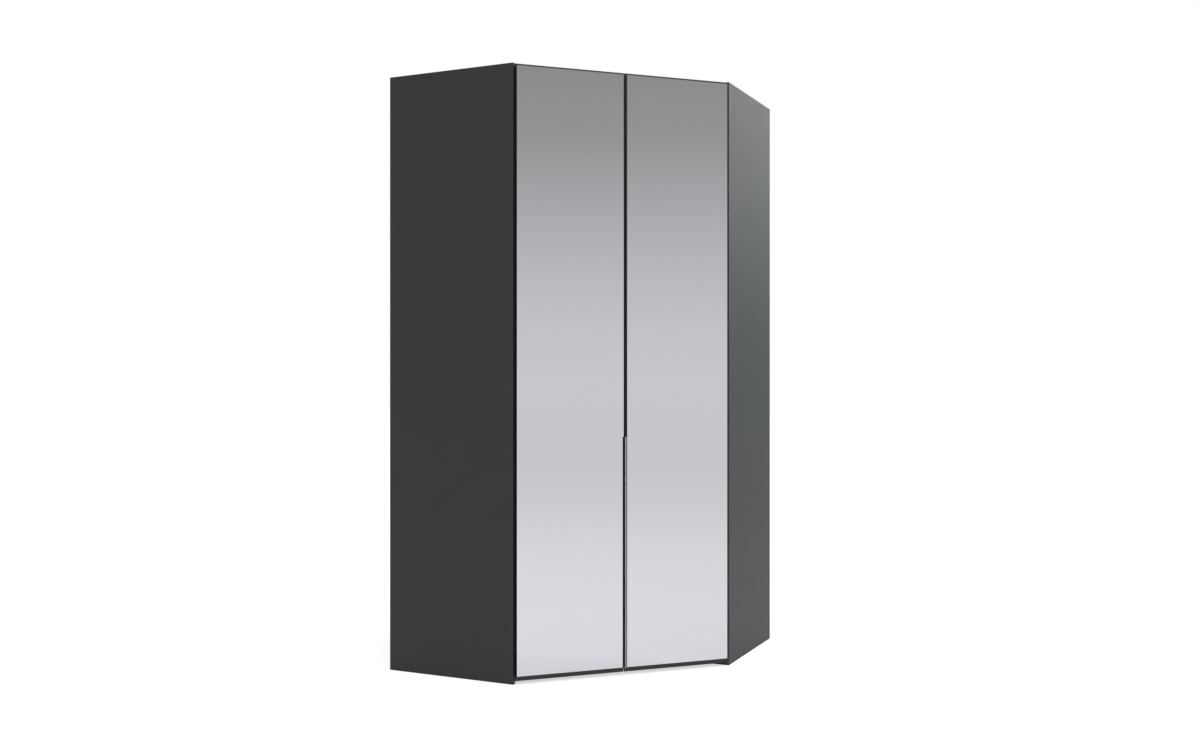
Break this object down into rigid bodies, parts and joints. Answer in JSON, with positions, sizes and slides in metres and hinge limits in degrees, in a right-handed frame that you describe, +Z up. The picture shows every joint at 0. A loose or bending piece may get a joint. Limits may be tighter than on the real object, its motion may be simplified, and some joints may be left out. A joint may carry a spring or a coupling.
{
  "type": "corner wardrobe",
  "caption": "Corner wardrobe with a diagonal front, tall mirror doors on concealed hinges, a slim grip strip, hat shelf and clothes rails inside.",
  "frame": {"origin": "on the floor under the middle of the square footprint", "axes": "+Z up; the room corner is at +X +Y and the diagonal front with the doors faces -X -Y"},
  "size_m": [1.2, 1.2, 2.36],
  "materials": {
    "side_board": "graphite melamine-faced chipboard, satin",
    "board": "graphite melamine-faced chipboard, matt",
    "door_board": "graphite melamine-faced chipboard, matt",
    "mirror": "silvered float glass",
    "grip_aluminium": "satin anodised",
    "nickel_steel": "nickel-plated pressed steel",
    "hardboard": "plain hardboard",
    "rail_steel": "chromed oval tube",
    "zinc": "zinc-plated",
    "glide_plastic": "moulded"
  },
  "bodies": {
    "carcass": {"left_side_panel": "side_board", "right_side_panel": "side_board", "left_bottom_board": "board", "right_bottom_board": "board", "left_top_board": "board", "right_top_board": "board", "left_hat_shelf": "board", "right_hat_shelf": "board", "left_back_panel": "hardboard", "right_back_panel": "hardboard", "left_corner_post": "board", "right_corner_post": "board", "top_joint_batten": "board", "shelf_joint_batten": "board", "base_rail": "board", "front_floor_glide": "glide_plastic", "rear_floor_glide": "glide_plastic", "left_clothes_rail": "rail_steel", "right_clothes_rail": "rail_steel", "left_rail_socket": "zinc", "right_rail_socket": "zinc", "left_rail_hanger": "zinc", "right_rail_hanger": "zinc", "left_wall_anchor": "zinc", "right_wall_anchor": "zinc", "left_hinge_arm_1": "nickel_steel", "left_hinge_arm_2": "nickel_steel", "left_hinge_arm_3": "nickel_steel", "left_hinge_arm_4": "nickel_steel", "left_hinge_arm_5": "nickel_steel", "left_hinge_plate_1": "nickel_steel", "left_hinge_plate_2": "nickel_steel", "left_hinge_plate_3": "nickel_steel", "left_hinge_plate_4": "nickel_steel", "left_hinge_plate_5": "nickel_steel", "right_hinge_arm_1": "nickel_steel", "right_hinge_arm_2": "nickel_steel", "right_hinge_arm_3": "nickel_steel", "right_hinge_arm_4": "nickel_steel", "right_hinge_arm_5": "nickel_steel", "right_hinge_plate_1": "nickel_steel", "right_hinge_plate_2": "nickel_steel", "right_hinge_plate_3": "nickel_steel", "right_hinge_plate_4": "nickel_steel", "right_hinge_plate_5": "nickel_steel"},
    "left_door": {"left_door_board": "door_board", "left_door_mirror": "mirror", "left_hinge_cup_1": "nickel_steel", "left_hinge_cup_2": "nickel_steel", "left_hinge_cup_3": "nickel_steel", "left_hinge_cup_4": "nickel_steel", "left_hinge_cup_5": "nickel_steel"},
    "right_door": {"right_door_board": "door_board", "right_door_mirror": "mirror", "right_door_grip": "grip_aluminium", "right_hinge_cup_1": "nickel_steel", "right_hinge_cup_2": "nickel_steel", "right_hinge_cup_3": "nickel_steel", "right_hinge_cup_4": "nickel_steel", "right_hinge_cup_5": "nickel_steel"}
  },
  "joints": [
    {"name": "left_door_swing", "type": "hinge", "parent": "carcass", "child": "left_door", "pos_m": [-0.5904, 0.0262, 0], "axis": [0, 0, -1], "range_deg": [0, 110]},
    {"name": "right_door_swing", "type": "hinge", "parent": "carcass", "child": "right_door", "pos_m": [0.0262, -0.5904, 0], "axis": [0, 0, 1], "range_deg": [0, 110]}
  ]
}
